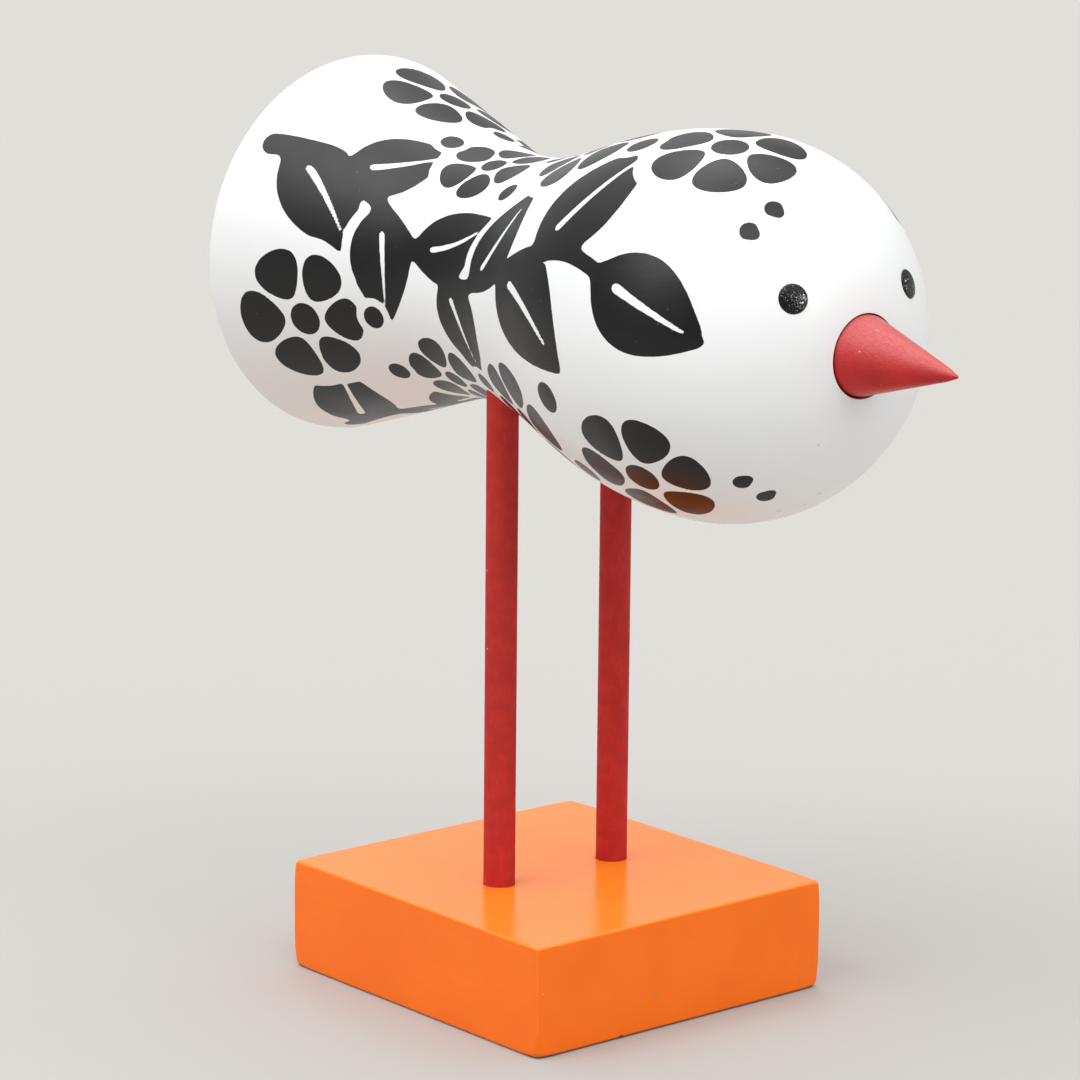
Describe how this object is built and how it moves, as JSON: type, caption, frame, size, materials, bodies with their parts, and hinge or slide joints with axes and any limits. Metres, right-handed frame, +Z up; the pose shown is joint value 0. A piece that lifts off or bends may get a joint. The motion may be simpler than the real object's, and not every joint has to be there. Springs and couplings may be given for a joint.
{
  "type": "bird figurine",
  "caption": "Turned wooden bird with a flared tail, round head and cone beak, standing on dowel legs over a flat block.",
  "frame": {"origin": "middle of the block's underside", "axes": "+X the way the beak points, +Y the bird's left, +Z up"},
  "size_m": [0.2239, 0.0996, 0.2324],
  "materials": {
    "orange_block": "satin paint",
    "red_legs": "satin paint",
    "white_body": "satin lacquer with a printed black pattern",
    "red_beak": "satin paint",
    "black_eyes": "gloss paint"
  },
  "bodies": {
    "root": {"base_block": "orange_block", "leg_left": "red_legs", "leg_right": "red_legs", "body": "white_body", "beak": "red_beak", "eye_left": "black_eyes", "eye_right": "black_eyes"}
  },
  "joints": []
}
